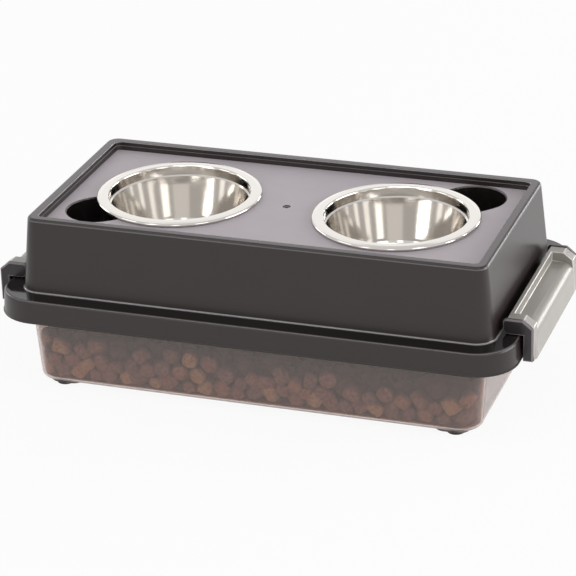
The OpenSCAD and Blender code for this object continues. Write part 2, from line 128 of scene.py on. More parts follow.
# %% [markdown]
# The camera stands in front, to the right and above, as for the photograph. Its place was found
# by fitting a pinhole camera to the outlines of the feeder, so the long lens is what keeps the
# far end almost as large as the near one. Lengths are in metres, except for the lens.

# %% Camera
AIM = Vector((0.00013, -0.0036, 0.0804))
BACK = Vector((0.3015, -0.8589, 0.4140)).normalized()
CAMERA_AWAY = 2.6185
ROLL = math.radians(-1.742)
LENS_MM, SENSOR_MM = 164.54, 36
right = Vector((0, 0, 1)).cross(BACK).normalized()
up = BACK.cross(right)
rolled_right = math.cos(ROLL) * right + math.sin(ROLL) * up
rolled_up = -math.sin(ROLL) * right + math.cos(ROLL) * up
camera = new_object("camera", bpy.data.cameras.new("camera"))
camera.data.lens, camera.data.sensor_width = LENS_MM, SENSOR_MM
turn = Matrix((rolled_right, rolled_up, BACK)).transposed().to_4x4()
camera.matrix_world = Matrix.Translation(AIM + BACK * CAMERA_AWAY) @ turn
scene.camera = camera
print("camera at", [round(v, 3) for v in camera.location])

# %% [markdown]
# The feeder stands on a sweep of white paper. Matt paper alone would turn grey away from the lamps,
# and a photographer lights it from all sides until it is as white as the background. Here a share
# of plain white glow does that for what the camera, mirror images and see-through plastic show of
# it. The share that is left stays matt, and takes the feeder's soft shadow.

# %% Floor
FLOOR_WHITE = linear("#F4F4F4")
FLOOR_HALF = 6
GLOW_SHARE = 0.92
CORNERS = ((-1, -1), (1, -1), (1, 1), (-1, 1))
floor_mesh = bpy.data.meshes.new("floor")
floor_corners = [(sx * FLOOR_HALF, sy * FLOOR_HALF, 0) for sx, sy in CORNERS]
floor_mesh.from_pydata(floor_corners, [], [(0, 1, 2, 3)])
floor = new_object("floor", floor_mesh)
# White paper: takes a soft shadow, and is otherwise as white as the background.
paper, tree = new_material("white paper sweep")
matt = add_node(tree, "BsdfDiffuse", {"Color": FLOOR_WHITE})
glow = add_node(tree, "Emission", {"Color": WHITE, "Strength": 1})
ray = add_node(tree, "LightPath").outputs
seen = maths(tree, "MAXIMUM", ray["Is Camera Ray"], ray["Is Glossy Ray"])
seen = maths(tree, "MAXIMUM", seen, ray["Is Transmission Ray"])
share = maths(tree, "MULTIPLY", seen, GLOW_SHARE)
surface(tree, add_node(tree, "MixShader", links={0: share, 1: matt.outputs[0], 2: glow.outputs[0]}))
floor_mesh.materials.append(paper)
print("floor", [round(v) for v in floor.dimensions], "m")

# %% [markdown]
# Black plastic shows hardly any colour of its own. What the eye sees on it is a weak mirror image
# of the room, so the room is part of the look. It is white near the floor and a warm grey higher
# up. Walls that lean back mirror the low white part, and the steel mirrors both. In mirror images
# the grey is three quarters of the way to white, or the bowls would look like dark chrome. The
# camera sees plain white everywhere.

# %% Room
ROOM_GREY = (0.34, 0.325, 0.31, 1)
WHITE_BELOW, GREY_ABOVE = 0.18, 0.38
MIRRORED_WHITE = 0.74
world = bpy.data.worlds.new("studio room")
scene.world = world
world.use_nodes = True
tree = world.node_tree
tree.nodes.clear()
way = add_node(tree, "TexCoord")
height = add_node(tree, "SeparateXYZ", links={0: way.outputs["Generated"]})
room = ramp(tree, height.outputs["Z"], (WHITE_BELOW, WHITE), (GREY_ABOVE, ROOM_GREY))
ray = add_node(tree, "LightPath").outputs
how_white = maths(tree, "MULTIPLY", ray["Is Glossy Ray"], MIRRORED_WHITE)
how_white = maths(tree, "MAXIMUM", how_white, ray["Is Camera Ray"])
shown = add_node(tree, "Mix", {"data_type": "RGBA", 7: WHITE}, {0: how_white, 6: room})
backdrop = add_node(tree, "Background", {"Strength": 1}, {0: shown.outputs[2]})
add_node(tree, "OutputWorld", links={"Surface": backdrop.outputs[0]})
print("room white below", WHITE_BELOW, "and grey above", GREY_ABOVE, "of the way to overhead")

# %% [markdown]
# The light is plain and soft, from large boxes. The one behind is where the camera's view would
# land if the flat top were a mirror, so it gives the deck its pale sheen. Four narrow ones stand in
# front with dark gaps between them: in the round bowls they become the upright streaks of light.
# A low one behind, on the right, grazes the right-hand wall and draws the light line along its
# upper edge. One large lamp could light the feeder as well, but polished steel would look like
# grey plaster, and every wall would have one flat tone.

# %% Softboxes
TOP = Vector((0, 0, 0.17))


def softbox(name, place, width, depth, radiance):
    """A rectangular lamp aimed at the feeder's top, in metres. Radiance 1 is as bright as white."""
    lamp = bpy.data.lights.new(name, "AREA")
    lamp.shape = "RECTANGLE"
    lamp.size, lamp.size_y = width, depth
    lamp.energy = radiance * math.pi * width * depth
    holder = new_object(name, lamp)
    holder.location = place
    holder.rotation_euler = (TOP - place).to_track_quat("-Z", "Y").to_euler()
    holder.visible_camera = False


BOX_AWAY = 2.2
mirrored_view = Vector((-BACK.x, -BACK.y, BACK.z))
softbox("softbox behind", TOP + mirrored_view * BOX_AWAY, 2.0, 1.1, 0.42)
# Each front box: degrees to the right of the front, and width.
FRONT_BOXES = [(-62, 0.75), (-24, 0.55), (12, 0.4), (48, 0.8)]
FRONT_HIGH, FRONT_DEPTH, FRONT_RADIANCE = 1.45, 1.5, 1.35
for number, (degrees, width) in enumerate(FRONT_BOXES):
    angle = math.radians(degrees)
    place = Vector((BOX_AWAY * math.sin(angle), -BOX_AWAY * math.cos(angle), FRONT_HIGH))
    softbox("softbox front %d" % number, place, width, FRONT_DEPTH, FRONT_RADIANCE)
softbox("softbox right", Vector((2.1, 0.5, 0.6)), 1.5, 1.1, 5.0)
softbox("softbox left", Vector((-2.1, 0.6, 0.9)), 0.9, 1.1, 2.0)
softbox("softbox above", Vector((0, -0.7, 2.0)), 2.4, 0.3, 2.6)
softbox("softbox low behind", Vector((1.3, 2.1, 0.34)), 1.4, 0.6, 5.5)

# %% [markdown]
# The lid is injection-moulded polypropylene, dyed black. Its skin is satin, with a fine spark grain
# that blurs each mirror image a little. One flat colour would do from far off, but on faces this
# large it looks like paper, so the dye drifts by an eighth over a few centimetres, as it does in
# real mouldings. The same recipe serves every moulded plastic and rubber here: only the colour,
# the gloss and the grain change. The grain is drawn at 1 to 2 mm, about four times its real size,
# which would be too fine for the picture.

# %% Moulded plastic
PLASTIC_IOR = 1.5
DYE_CLOUD_MM = 60
DYE_SHARES = (0.88, 1.12)


def moulded(name, colour, roughness, grain_mm, grain_deep_mm):
    """A dyed plastic: a spark grain in its skin, and dye that drifts between two shares."""
    material, tree = new_material(name)
    thin, thick = [[share * c for c in linear(colour)[:3]] + [1] for share in DYE_SHARES]
    dye = ramp(tree, noise(tree, DYE_CLOUD_MM, detail=3), (0, thin), (1, thick))
    bump = add_node(tree, "Bump", {"Strength": 1, "Distance": grain_deep_mm * MM},
                    {"Height": noise(tree, grain_mm, detail=2)})
    surface(tree, add_node(tree, "BsdfPrincipled", {"IOR": PLASTIC_IOR, "Roughness": roughness},
                           {"Base Color": dye, "Normal": bump.outputs[0]}))
    return material


print("dye drifts between", DYE_SHARES, "of its colour")

# %% [markdown]
# One mould leaves several finishes on the lid. The walls keep the fine grain. The deck was sparked
# coarsely, so it scatters the light from behind and looks pale grey from the front: that sheen is
# painted into its colour. The wells were polished, and so were the small rounds. Pale grey is
# painted on the rounds, the ledge, the pocket lips and the outer edges as highlight lines. One
# black for the whole lid would be simpler, but the deck would then be as dark as the walls, and the
# steps round it would be lost.

# %% Finishes and painted highlights of the lid and of the latch frames
# Each call gives the name, the colour, the roughness, and the grain's size and depth in mm.
# Walls and flange: dark satin, in which the white floor shows as a soft grey.
LID_BLACK = moulded("black moulded polypropylene", "#292120", 0.3, 1.6, 0.002)
# Deck: matt, with a painted sheen. Its real pits are finer than any bump drawn here, so the colour
# is lifted to a pale grey that paints in the light from behind that they would scatter.
DECK_PAINTED_SHEEN = moulded("black moulded polypropylene, painted sheen on deck", "#B9B2B9", 0.5, 1.6, 0.01)
# Border round the deck: smoother and darker than the deck, so the recess reads as sunk.
BORDER_BLACK = moulded("black moulded polypropylene, border", "#443A41", 0.2, 1.6, 0.002)
# Painted highlight: a thin grey line painted along the pocket lips, the flange and the top's outer
# edge.
PAINTED_HIGHLIGHT_BLACK = moulded("black moulded polypropylene, painted edge highlight", "#625D5F", 0.2, 1.6, 0.001)
# Wells, finger pockets and the dimple in the deck: nearly black, with small sharp glints.
WELL_BLACK = moulded("black moulded polypropylene, polished well", "#1C1818", 0.09, 1.6, 0.0005)
# Glossy rounds at the foot of the walls and above the ledge, and the ledge: painted highlight
# lines.
HIGHLIGHT_LINE_BLACK = moulded("black moulded polypropylene, painted highlight line", "#8C8A8C", 0.15, 1.6, 0.0005)
# Latch frames: a shade lighter and glossier than the walls, so they stand off the lid behind.
LATCH_BLACK = moulded("black moulded polypropylene, latch", "#272225", 0.26, 1.4, 0.004)
# Their outline: a painted highlight, pale all round the end cheeks.
LATCH_EDGE_HIGHLIGHT = moulded("black moulded polypropylene, painted latch edge highlight", "#787074", 0.2, 1.4, 0.002)
print("black finishes", len([m for m in bpy.data.materials if m.name.startswith("black moulded")]))

# %% [markdown]
# The latch covers are moulded in a warm grey, and clip over the black frames. The pads under the
# bin are rubber, and the ring that seals the bin is soft foam. They use the same recipe, because
# they too are mouldings with an even colour and a fine skin.

# %% Grey latch plastic, rubber and foam
# Cover: a soft sheen, so the long scoop reads as a step from light to shade.
GRIP_GREY = moulded("grey moulded polypropylene", "#96928C", 0.28, 1.4, 0.004)
# Its edges: paler, a painted highlight.
GRIP_EDGE_HIGHLIGHT = moulded("grey moulded polypropylene, painted edge highlight", "#D2CFCA", 0.22, 1.4, 0.002)
# Pads: matt and almost black, seen only as dark feet.
RUBBER = moulded("black rubber", "#1B1A1A", 0.7, 1.2, 0.02)
# Gasket: dull, with an open grain drawn coarser than its real cells.
FOAM = moulded("closed-cell foam", "#2A2A2B", 0.9, 0.8, 0.06)
print("materials so far", len(bpy.data.materials))

# %% [markdown]
# The bowls are spun and polished stainless steel. Polishing on a lathe leaves fine rings, and
# rings stretch every highlight up and down the wall, so the wall shows upright streaks. The rings
# could be drawn as a bump, but they are finer than a pixel and would only sparkle: a stretched
# highlight (anisotropy along the rings) gives the eye the same streaks.

# %% Spun stainless steel
# Pale and a little warm, nearly a mirror: its greys are the room's. Its gloss drifts over a few
# centimetres, so that no streak is quite even.
STEEL_PALE = linear("#D5D1CC")
STEEL_ROUGH = {"To Min": 0.06, "To Max": 0.12}
STEEL_STRETCH = 0.5
STEEL, tree = new_material("spun stainless steel")
rough = add_node(tree, "MapRange", STEEL_ROUGH, {"Value": noise(tree, lump_mm=30, detail=3)})
rings = add_node(tree, "Tangent", {"direction_type": "RADIAL", "axis": "Z"})
surface(tree, add_node(tree, "BsdfPrincipled",
                       {"Base Color": STEEL_PALE, "Metallic": 1, "Anisotropic": STEEL_STRETCH},
                       {"Roughness": rough.outputs[0], "Tangent": rings.outputs[0]}))
print("steel roughness", STEEL_ROUGH)

# %% [markdown]
# The bin is natural polypropylene with a brown smoke tint. Polypropylene is never quite clear: it
# adds a milky haze. The outside is polished and the inside is frosted, so whatever touches the wall
# shows sharply, and whatever lies deeper melts into the haze. Two materials, one for each side, do
# that with real thickness, which also gives the pale line along the bottom edge.

# %% Smoky polypropylene
SMOKE_TINT = linear("#D2C1BB")
SMOKE_IOR, SMOKE_CLEAR = 1.49, 0.9
ROUGH_SHARES = (0.85, 1.15)


def smoky(name, roughness):
    """A see-through plastic. Its roughness drifts between two shares."""
    material, tree = new_material(name)
    smooth, frosted = [roughness * share for share in ROUGH_SHARES]
    rough = add_node(tree, "MapRange", {"To Min": smooth, "To Max": frosted},
                     {"Value": noise(tree, lump_mm=45, detail=3)})
    surface(tree, add_node(tree, "BsdfPrincipled", {"Base Color": SMOKE_TINT, "IOR": SMOKE_IOR,
                                                    "Transmission Weight": SMOKE_CLEAR},
                           {"Roughness": rough.outputs[0]}))
    return material


# Polished outside: keeps a mirror image of the floor and a clear edge.
SMOKE_OUT = smoky("smoky polypropylene, polished outside", 0.05)
# Frosted inside: the haze that grows with the distance from wall to food.
SMOKE_IN = smoky("smoky polypropylene, frosted inside", 0.09)
print("smoky wall", SMOKE_OUT.name, "|", SMOKE_IN.name)

# %% [markdown]
# The CAD meshes come with a vertex for each corner of each face. Each plastic piece is rebuilt
# from its CAD mesh: the doubled vertices are welded, flat triangles are merged, sharp edges get a
# small bevel, and normals are weighted by area so that the flat faces stay flat. A bevel on every
# edge would be simpler, but it breaks where short edges meet at a corner, so each edge has its own
# share of the width. The bevels only cut material away, so no piece grows.

# %% Dress a CAD mesh
WELD = 0.002 * MM
FLAT = math.radians(0.2)
CREASE = math.radians(32)
BEVEL_STEPS = 2


def dressed(node, name, material, body, bevel_mm=0, edge_material=None, edge_share=None):
    """A smooth-shaded copy of a node. edge_share gives how much of the bevel an edge gets."""
    bm = bmesh.new()
    bm.from_mesh(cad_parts[node].data)
    bmesh.ops.remove_doubles(bm, verts=bm.verts, dist=WELD)
    bmesh.ops.dissolve_limit(bm, angle_limit=FLAT, verts=bm.verts, edges=bm.edges)
    bm.verts.index_update()
    mesh = bpy.data.meshes.new(name)
    faces = [[v.index for v in f.verts] for f in bm.faces]
    mesh.from_pydata([v.co[:] for v in bm.verts], [], faces)
    shares = {}
    for edge in bm.edges:
        if edge.calc_face_angle(0) > CREASE:
            shares[frozenset(v.index for v in edge.verts)] = edge_share(edge) if edge_share else 1
    bm.free()
    mesh.polygons.foreach_set("use_smooth", [True] * len(mesh.polygons))
    mesh.set_sharp_from_angle(angle=CREASE)
    mesh.materials.append(material)
    piece = new_object(name, mesh)
    if bevel_mm:
        weights = mesh.attributes.new("bevel_weight_edge", "FLOAT", "EDGE")
        widths = [shares.get(frozenset(e.vertices), 0) for e in mesh.edges]
        weights.data.foreach_set("value", widths)
        bevel = piece.modifiers.new("edge", "BEVEL")
        bevel.width, bevel.segments = bevel_mm * MM, BEVEL_STEPS
        bevel.limit_method = "WEIGHT"
        bevel.use_clamp_overlap = False
        if edge_material:
            mesh.materials.append(edge_material)
            bevel.material = 1
    even = piece.modifiers.new("even", "WEIGHTED_NORMAL")
    even.keep_sharp = True
    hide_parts(node)
    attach(piece, body)
    print(name, len(mesh.vertices), "vertices", len(mesh.polygons), "faces")
    return piece


# %% [markdown]
# The lid is one moulding: a box with leaning walls, on a flange with a skirt. It keeps the rounds
# that the solid has, and needs no bevel. Its finishes and painted highlight lines are given face by
# face, from the heights of the construction: the deck lies 8.5 mm below the top, with a ledge half
# way down, and the flange lies 74.9 mm below the top. Painting them by hand would have to be done
# again after each change.

# %% Lid
TOP_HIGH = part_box("feeder_lid")[1].z
DECK_HIGH = TOP_HIGH - 8.5 * MM
LEDGE_HIGH = TOP_HIGH - 4.25 * MM
FLANGE_HIGH = TOP_HIGH - 74.9 * MM
BOWL_X = sum(corner.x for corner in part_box("bowl_right")) / 2
# Half sizes of the recess, the reach of a bowl's rim, and the dimple where the plastic came in,
# with the largest face that is part of the dimple.
RECESS_X, RECESS_Y = 222 * MM, 112 * MM
RIM_REACH = 84 * MM
GATE_REACH, GATE_FACE = 4.5 * MM, 60 * MM * MM
# Heights of the rounds and of the painted highlight bands on the edges, how near counts as the
# same height, and the tilt from which a face counts as level.
LIP_HIGHLIGHT_BAND = 1.8 * MM
FOOT_ROUND = 2 * MM
TOP_ROUND = 1.2 * MM
TOP_HIGHLIGHT_BAND = 3 * MM
HALF_FLANGE_HIGHLIGHT_BAND = 0.6 * MM
SAME, NEAR = 0.05 * MM, 0.1 * MM
LEVEL = 0.99
lid = dressed("feeder_lid", "lid_moulding", LID_BLACK, "lid")
for material in (DECK_PAINTED_SHEEN, WELL_BLACK, HIGHLIGHT_LINE_BLACK, BORDER_BLACK, PAINTED_HIGHLIGHT_BLACK):
    lid.data.materials.append(material)
WALL, DECK, WELL, HIGHLIGHT_LINE, BORDER, EDGE_HIGHLIGHT = range(6)


def faces_in(face):
    """Whether a face looks towards the upright middle axis."""
    return face.normal.xy.dot(face.center.xy) < 0


def lid_finish(face):
    """The number of a face's finish or painted highlight, from its place and from its tilt, which
    is 1 if level.
    """
    x, y, z = face.center
    tilt = face.normal.z
    within_recess = abs(x) < RECESS_X and abs(y) < RECESS_Y
    under_rim = math.hypot(abs(x) - BOWL_X, y) < RIM_REACH
    # The dimple, the deck, wells and pockets, and the painted highlight on the lips of the pockets.
    if math.hypot(x, y) < GATE_REACH and face.area < GATE_FACE:
        return WELL
    if tilt > LEVEL and abs(z - DECK_HIGH) < SAME:
        return DECK
    if within_recess and (z < DECK_HIGH - LIP_HIGHLIGHT_BAND or (under_rim and z < DECK_HIGH)):
        return WELL
    if within_recess and z < DECK_HIGH - NEAR and tilt > 0.3:
        return EDGE_HIGHLIGHT
    # The round at the foot of the walls, the border, the ledge, and the round above the ledge: all
    # but the border get painted highlight lines.
    if NEAR < z - FLANGE_HIGH < FOOT_ROUND and 0.4 < tilt < 0.95:
        return HIGHLIGHT_LINE
    if tilt > LEVEL and z > TOP_HIGH - SAME:
        return BORDER
    if tilt > LEVEL and abs(z - LEDGE_HIGH) < NEAR:
        return HIGHLIGHT_LINE
    if faces_in(face) and z > TOP_HIGH - TOP_ROUND and 0.2 < tilt < 0.97:
        return HIGHLIGHT_LINE
    # The outer edge of the top, and the edge of the flange: painted highlight lines.
    if not faces_in(face) and z > TOP_HIGH - TOP_HIGHLIGHT_BAND and 0.15 < tilt < 0.5:
        return EDGE_HIGHLIGHT
    if abs(z - FLANGE_HIGH + HALF_FLANGE_HIGHLIGHT_BAND) < HALF_FLANGE_HIGHLIGHT_BAND and 0.5 < tilt < 0.95:
        return EDGE_HIGHLIGHT
    return WALL


for face in lid.data.polygons:
    face.material_index = lid_finish(face)
print("lid faces per finish", np.bincount([face.material_index for face in lid.data.polygons]))

# %% [markdown]
# The bin is one moulding with real thickness, so light bends in it as in the real wall. Faces
# that look towards the middle, and its floor inside, are frosted. The rest is polished. A single
# sheet with a see-through material would render faster, but it has no pale edge at the bottom.

# %% Bin
INNER_FLOOR_UNDER = 30 * MM
STEEP = 0.7
bin_tub = dressed("storage_bin", "bin_moulding", SMOKE_OUT, "bin")
bin_tub.data.materials.append(SMOKE_IN)
for face in bin_tub.data.polygons:
    inner_wall = faces_in(face) and abs(face.normal.z) < STEEP
    inner_floor = face.normal.z > STEEP and face.center.z < INNER_FLOOR_UNDER
    face.material_index = int(inner_wall or inner_floor)
print("frosted faces", sum(face.material_index for face in bin_tub.data.polygons))

# %% [markdown]
# A latch is a black frame that turns on the lid, with a grey cover over it. The outline of the
# frame's end cheeks is broad, so it gets the full bevel, coloured lighter as a painted highlight.
# Its other long edges get three tenths of that. Edges up to 3 mm belong to small rounds and get
# none.

# %% Latches
CHEEK_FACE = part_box("latch_frame_right")[1].y
SHORT_EDGE = 3 * MM
PLAIN_SHARE = 0.3
IN_FACE = 0.01 * MM


def long_edges(edge):
    """The full bevel, except on short edges."""
    return float(edge.calc_length() > SHORT_EDGE)


def cheek_edges(edge):
    """The full bevel on the outline of an end cheek, and less on other long edges."""
    outline = all(abs(abs(v.co.y) - CHEEK_FACE) < IN_FACE for v in edge.verts)
    return 1.0 if outline else PLAIN_SHARE * long_edges(edge)


for side in ("left", "right"):
    dressed("latch_frame_" + side, "latch_cheeks_" + side, LATCH_BLACK,
            "latch_" + side, bevel_mm=1.6, edge_material=LATCH_EDGE_HIGHLIGHT, edge_share=cheek_edges)
    dressed("latch_grip_" + side, "latch_cover_" + side, GRIP_GREY,
            "latch_" + side, bevel_mm=0.7, edge_material=GRIP_EDGE_HIGHLIGHT, edge_share=long_edges)

# %% [markdown]
# The soft pieces have small even rounds, so a plain bevel does. The bowls keep their CAD mesh,
# since spun walls and rolled rims are already smooth there, and only take the steel.

# %% Gasket, pads and bowls
dressed("lid_gasket", "foam_gasket", FOAM, "lid", bevel_mm=0.4)
for corner in ("front_left", "front_right", "back_left", "back_right"):
    dressed("foot_pad_" + corner, "rubber_pad_" + corner, RUBBER, "bin",
            bevel_mm=0.3)
for side in ("left", "right"):
    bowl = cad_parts["bowl_" + side]
    for i in range(len(bowl.material_slots)):
        bowl.material_slots[i].material = STEEL
    print("bowl", side, "faces", len(bowl.data.polygons))

# %% [markdown]
# The bin is shown part full of dry food, because that is what one sees through its smoky wall. The
# food is not part of the feeder, so it has no solid. It could be a flat picture behind the wall,
# but then nothing would show from above or from the side. Here it is a real heap of 740 pieces.
# Their matt crumb is mottled, as baked food is. Pieces at the wall have four browns, lighter than
# real ones because the smoky wall takes part of the light twice. Deeper pieces have two shaded
# browns, as little light gets in between them.

# %% Dry food: colours
CRUMB_MM, CRUMB_DEEP_MM, CRUMB_STRENGTH = 2.5, 0.6, 0.6
CRUMB_ROUGH = 0.75
DARK_UNTIL, PALE_FROM = 0.35, 0.6
GAP_SHADE = "gap_shade"


def baked_kibble(name, colour, dark):
    """Matt food, mottled in two colours. Where a point has a gap shade, it takes that much away."""
    material, tree = new_material(name)
    crumb = noise(tree, CRUMB_MM, detail=4)
    stain = ramp(tree, crumb, (DARK_UNTIL, linear(dark)), (PALE_FROM, linear(colour)))
    gap = add_node(tree, "Attribute", {"attribute_name": GAP_SHADE})
    lit = maths(tree, "SUBTRACT", 1, gap.outputs["Fac"])
    dimmed = add_node(tree, "VectorMath", {"operation": "SCALE"}, {0: stain, "Scale": lit})
    bump = add_node(tree, "Bump", {"Strength": CRUMB_STRENGTH, "Distance": CRUMB_DEEP_MM * MM},
                    {"Height": crumb})
    surface(tree, add_node(tree, "BsdfPrincipled", {"Roughness": CRUMB_ROUGH},
                           {"Base Color": dimmed.outputs[0], "Normal": bump.outputs[0]}))
    return material


# At the wall. Tan: the few palest pieces, which the eye finds first.
KIBBLE = [baked_kibble("baked kibble, tan", "#F4CEA6", "#D2A278"),
          # Orange brown: keeps the heap warm.
          baked_kibble("baked kibble, orange brown", "#DCA888", "#B08064"),
          # Red brown: the most common, and with the smoke it sets the tone of the heap.
          baked_kibble("baked kibble, red brown", "#C8978A", "#A07268"),
          # Brown: darker pieces that set off their neighbours.
          baked_kibble("baked kibble, brown", "#BA938A", "#8E6B63"),
          # Behind them. Shaded tan and shaded brown: they recede behind the front row.
          baked_kibble("baked kibble, shaded tan", "#96705A", "#6A4C3C"),
          baked_kibble("baked kibble, shaded brown", "#7C5C4E", "#58403A")]
WALL_SHARES = [0.18, 0.2, 0.36, 0.26]
# Heart of the heap: painted shade, almost black, so gaps look deep.
DEEP_PAINTED_SHADE = baked_kibble("baked kibble, painted shade deep in the heap", "#3A2A24", "#241A17")
# Crumbs: a dusty mid brown along the bottom edge of the bin.
CRUMBS = baked_kibble("kibble crumbs", "#A87A62", "#74503F")
print("food colours", len(KIBBLE), "and at the wall", WALL_SHARES, "of the pieces")

# %% [markdown]
# Dry food is cut from a strand into pillows, discs and short rods. One shape gives all of them: a
# ball whose plan and side are squared off by two powers. It is built on a cube's six grids of
# faces, because they stay even in size, while a globe's faces crowd at its poles.

# %% Dry food: one pillow shape on a grid of a cube's faces
GRID = 4


def cube_grid():
    """Points and faces of a cube with GRID faces along each edge, spaced evenly in angle."""
    index, points, quads = {}, [], []
    for axis in range(3):
        for sign in (-1, 1):
            rows = []
            for i in range(GRID + 1):
                for j in range(GRID + 1):
                    p = [0, 0, 0]
                    p[axis] = sign * GRID
                    p[(axis + 1) % 3] = 2 * i - GRID
                    p[(axis + 2) % 3] = 2 * j - GRID
                    if tuple(p) not in index:
                        index[tuple(p)] = len(points)
                        points.append([math.tan(c / GRID * math.pi / 4) for c in p])
                    rows.append(index[tuple(p)])
            for i in range(GRID):
                for j in range(GRID):
                    a = i * (GRID + 1) + j
                    ring = [rows[a], rows[a + GRID + 1], rows[a + GRID + 2], rows[a + 1]]
                    quads.append(ring if sign > 0 else ring[::-1])
    return np.array(points), quads


CUBE_POINTS, CUBE_QUADS = cube_grid()


def pillow(half_sizes, plan_power, side_power):
    """A squared ellipsoid: high powers give flatter sides."""
    p = np.abs(CUBE_POINTS)
    plan = (p[:, 0] ** plan_power + p[:, 1] ** plan_power) ** (1 / plan_power)
    reach = (plan ** side_power + p[:, 2] ** side_power) ** (1 / side_power)
    return CUBE_POINTS / reach[:, None] * np.array(half_sizes)


print("points per piece", len(CUBE_POINTS))

# %% [markdown]
# The food must lie against the inner wall and never cut it. Seen from above, that wall is a
# rectangle with round corners, and it leans out by 4.2 degrees. One formula then tells how far
# any point is past it, which is much quicker than asking the mesh. The rectangle is half a
# millimetre smaller than the real one, to be safe. The core is a low step in the middle of the
# floor, so the pieces there lie a little higher than those along the wall.

# %% Dry food: the space inside the bin, in millimetres
BIN_FLOOR = 8.7
INSIDE = np.array([223.4, 119.9])
INSIDE_ROUND = 19.8
WALL_LEAN = math.tan(math.radians(4.2))
CORE_INSET, CORE_TALL = 34, 2
CORE = INSIDE - CORE_INSET
CORE_TOP = BIN_FLOOR + CORE_TALL
NOT_ZERO = 1e-9


def past_wall(points):
    """How far points stick out past the inner wall, and the level way out."""
    half = INSIDE + WALL_LEAN * (points[:, 2:] - BIN_FLOOR)
    over = np.abs(points[:, :2]) - (half - INSIDE_ROUND)
    corner = np.maximum(over, 0)
    away = np.linalg.norm(corner, axis=1)
    out = away + np.minimum(over.max(axis=1), 0) - INSIDE_ROUND
    return out, np.sign(points[:, :2]) * corner / np.maximum(away, NOT_ZERO)[:, None]


print("inner wall at the floor", 2 * INSIDE, "mm")

# %% [markdown]
# Pieces could be dropped with rigid-body physics, but that takes minutes. Here, a ball stands for
# each piece. In small steps the balls sink, push one another apart, and are pushed back from the
# wall, the floor and the core, until they lie still. Chance is seeded, so every run gives the same
# heap. More of them start where a slow wave is high, and a few more on the left, which leaves the
# top of the heap uneven.

# %% Dry food: balls that stand for the pieces settle in the bin
# Places to choose from, and how many are taken beside the core and above it. A place is more
# likely where the two waves rise: their crest is MOST_CROWDED.
SEED = 11
TRIES = 4000
BAND_COUNT, MIDDLE_COUNT = 540, 200
MOST_CROWDED = 1.45
# Millimetres: how high over the floor a ball starts, its radius, and how far it sinks in a step.
START_HIGH = (6, 55)
RADII = (7.3, 10.5)
SINK = 0.6
# Pairs of balls that may touch are looked up now and then, within a distance that is enough.
STEPS, PAIRS_EVERY, PAIR_WITHIN = 240, 8, 24
# Share of an overlap that each ball gives way by, and share of its radius that keeps off a wall.
PUSH_SHARE = 0.42
WALL_TOUCH, FLOOR_TOUCH = 0.86, 0.84
dice = np.random.default_rng(SEED)
places = dice.uniform(-1, 1, (TRIES, 2)) * INSIDE
x, y = places[:, 0], places[:, 1]
slow_wave = 0.3 * np.sin(x / 29 + 1.1) * np.cos(y / 60)
ripple = 0.15 * np.sin(x / 12)
fewer_on_right = 0.15 * x / INSIDE[0]
crowded = 1 + slow_wave + ripple - fewer_on_right
places = places[dice.uniform(0, MOST_CROWDED, len(places)) < crowded]
in_middle = (np.abs(places) < CORE).all(axis=1)
places = np.concatenate([places[~in_middle][:BAND_COUNT], places[in_middle][:MIDDLE_COUNT]])
start = dice.uniform(BIN_FLOOR + START_HIGH[0], BIN_FLOOR + START_HIGH[1], len(places))
balls = np.column_stack([places, start])
radius = dice.uniform(*RADII, len(balls))
for step in range(STEPS):
    if step % PAIRS_EVERY == 0:
        apart = np.linalg.norm(balls[:, None] - balls[None], axis=2)
        one, two = np.nonzero(np.triu(apart < PAIR_WITHIN, 1))
    balls[:, 2] -= SINK
    gap = balls[one] - balls[two]
    apart = np.linalg.norm(gap, axis=1)
    overlap = np.maximum(radius[one] + radius[two] - apart, 0)
    press = PUSH_SHARE * overlap / np.maximum(apart, NOT_ZERO)
    np.add.at(balls, one, press[:, None] * gap)
    np.add.at(balls, two, -press[:, None] * gap)
    out, way = past_wall(balls)
    balls[:, :2] -= way * np.maximum(out + radius * WALL_TOUCH, 0)[:, None]
    balls[:, 2] = np.maximum(balls[:, 2], BIN_FLOOR + radius * FLOOR_TOUCH)
    rest_high = CORE_TOP + radius * FLOOR_TOUCH
    depth = np.column_stack([CORE - np.abs(balls[:, :2]), rest_high - balls[:, 2]])
    nearest = depth.argmin(axis=1)
    for axis in range(3):
        stuck = (depth > 0).all(axis=1) & (nearest == axis)
        side = np.sign(balls[stuck, axis]) if axis < 2 else 1
        balls[stuck, axis] += side * depth[stuck, axis]
print("kibble pieces", len(balls), "highest", round(float(balls[:, 2].max()), 1), "mm")

# %% [markdown]
# Each ball becomes a piece of about its size. A piece next to the wall turns a broad side to it and
# is pushed until it touches, which is why it shows clearly through the frosted plastic. Any other
# piece lies any way up. Hardly any light gets in between pieces that lean on the wall. Rather than
# wait for many bounces to show that, each point keeps a value, gap_shade, for how far it lies
# behind the wall, and the material darkens by it: that draws the dark lines between the pieces.

# %% Dry food: each ball becomes a piece
# Each shape: half sizes as shares of the ball's radius, and the powers of its plan and its side.
SHAPES = [((1.2, 0.96, 0.84), 8, 4), ((1.02, 1.0, 0.86), 6, 3.5), ((1.04, 1.04, 0.8), 2, 3),
          ((1.26, 0.88, 0.84), 5, 3.5), ((1.06, 0.94, 0.86), 3, 3)]
# Shares of a ball's radius: the piece it becomes, and how near the wall it leans on it.
PIECE_SIZE = 0.94
WALL_REACH = 1.2
# Radians: how far such a piece may lean off the wall, and a whole turn.
LEAN, SPIN = 0.3, 6.28
# Millimetres: a piece this near the floor is set down on it, and this much is left free.
ON_FLOOR, CLEAR = 1.5, 0.2
PUSHES = 3
